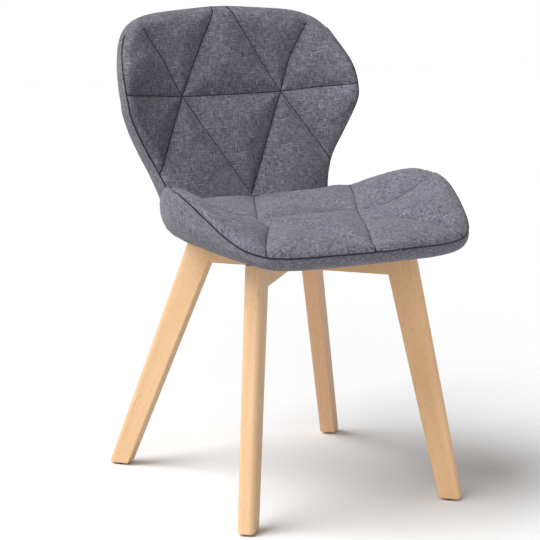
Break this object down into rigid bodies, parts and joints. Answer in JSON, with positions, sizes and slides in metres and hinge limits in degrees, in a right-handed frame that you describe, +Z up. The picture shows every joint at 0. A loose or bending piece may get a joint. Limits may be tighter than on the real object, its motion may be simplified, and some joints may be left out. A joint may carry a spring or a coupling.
{
  "type": "upholstered dining chair",
  "caption": "Grey upholstered dining chair with a winged seat and back, sewn triangular panels and splayed beech legs.",
  "frame": {"origin": "on the floor under the middle of the chair's outer box", "axes": "+Z up, +Y to the back of the chair, +X to the right as seen from the front"},
  "size_m": [0.4574, 0.518, 0.74],
  "materials": {
    "upholstery": "matte",
    "beech": "satin",
    "plywood": "matte",
    "foam": "matte",
    "lining": "matte",
    "steel": "satin",
    "glide": "matte"
  },
  "bodies": {
    "root": {"leg_front_left": "beech", "glide_front_left": "glide", "leg_front_right": "beech", "glide_front_right": "glide", "leg_rear_left": "beech", "glide_rear_left": "glide", "leg_rear_right": "beech", "glide_rear_right": "glide", "rail_lower": "beech", "rail_upper": "beech", "rail_dowels": "beech", "glide_nails": "steel", "seat_bolts": "steel", "seat_washers": "steel", "seat_tee_nuts": "steel", "bracket_left": "steel", "bracket_right": "steel", "bracket_bolts": "steel", "bracket_tee_nuts": "steel", "seat_plywood": "plywood", "seat_foam": "foam", "seat_cover_top": "upholstery", "seat_cover_band": "upholstery", "dust_cover": "lining", "back_plywood": "plywood", "back_foam": "foam", "back_cover_front": "upholstery", "back_cover_rear": "upholstery", "back_foot_lining": "upholstery"}
  },
  "joints": []
}
